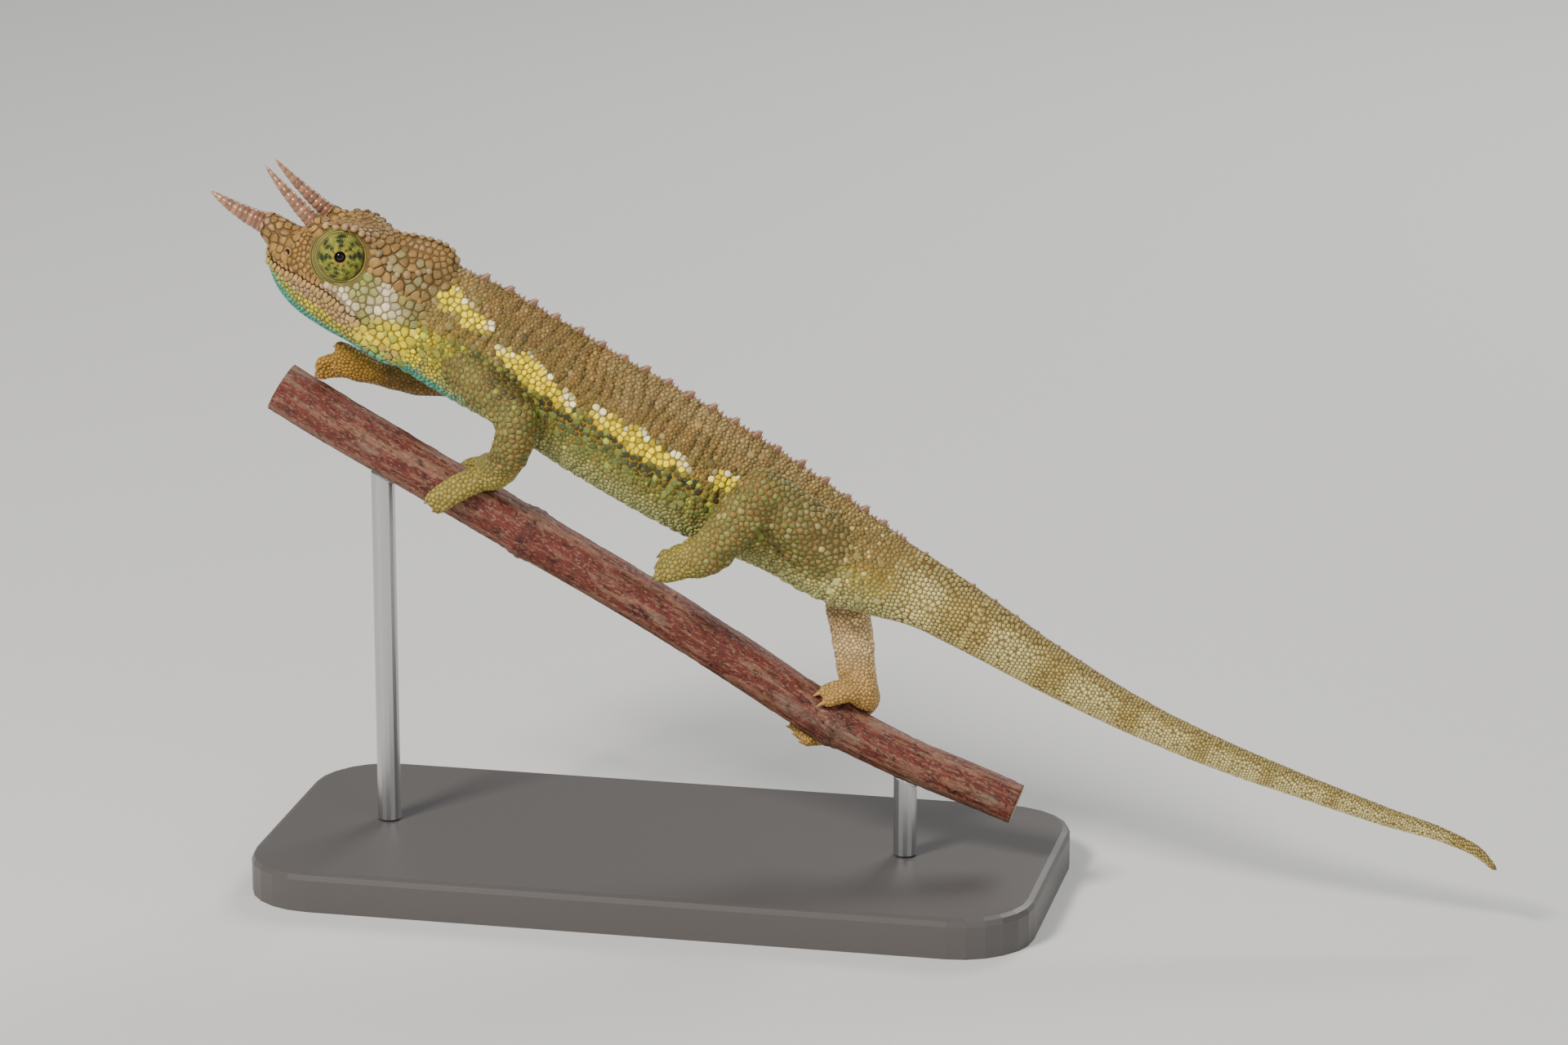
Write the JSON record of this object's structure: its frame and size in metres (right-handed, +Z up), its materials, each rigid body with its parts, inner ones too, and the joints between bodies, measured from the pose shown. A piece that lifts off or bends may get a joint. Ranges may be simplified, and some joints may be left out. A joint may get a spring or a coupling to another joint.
{
  "type": "chameleon display model",
  "caption": "Life-size still model of a horned chameleon gripping a short length of branch, held over a flat base by rods.",
  "frame": {"origin": "centre of the model's bounding box in plan, on the floor under the stand's base", "axes": "+X from the head toward the tail, -Y to the animal's left side, +Z up"},
  "size_m": [0.2096, 0.058, 0.1155],
  "materials": {
    "skin_head": "scaly",
    "skin_trunk": "scaly",
    "skin_tail": "scaly",
    "skin_limb": "scaly",
    "skin_pale_limb": "scaly",
    "horn": "ringed, satin",
    "eyelid": "fine scales",
    "pupil": "wet shine",
    "bark": "smooth bark with peeling streaks",
    "base": "satin",
    "rod": "brushed"
  },
  "bodies": {
    "root": {"arm_left_fore": "skin_limb", "arm_left_upper": "skin_limb", "arm_right_fore": "skin_limb", "arm_right_upper": "skin_limb", "belly": "skin_trunk", "chest": "skin_trunk", "eye_left": "eyelid", "eye_right": "eyelid", "eyeball_left": "pupil", "eyeball_right": "pupil", "foot_left_palm": "skin_limb", "foot_left_toes_inner": "skin_limb", "foot_left_toes_outer": "skin_limb", "foot_right_palm": "skin_pale_limb", "foot_right_toes_inner": "skin_pale_limb", "foot_right_toes_outer": "skin_pale_limb", "hand_left_palm": "skin_limb", "hand_left_toes_inner": "skin_limb", "hand_left_toes_outer": "skin_limb", "hand_right_palm": "skin_limb", "hand_right_toes_inner": "skin_limb", "hand_right_toes_outer": "skin_limb", "head": "skin_head", "horn_left": "horn", "horn_right": "horn", "horn_rostral": "horn", "leg_left_shank": "skin_limb", "leg_left_thigh": "skin_limb", "leg_right_shank": "skin_pale_limb", "leg_right_thigh": "skin_pale_limb", "neck": "skin_trunk", "pelvis": "skin_trunk", "perch": "bark", "stand_base": "base", "stand_rod_front": "rod", "stand_rod_rear": "rod", "tail_1": "skin_tail", "tail_2": "skin_tail", "tail_3": "skin_tail", "tail_4": "skin_tail", "tail_5": "skin_tail"}
  },
  "joints": []
}
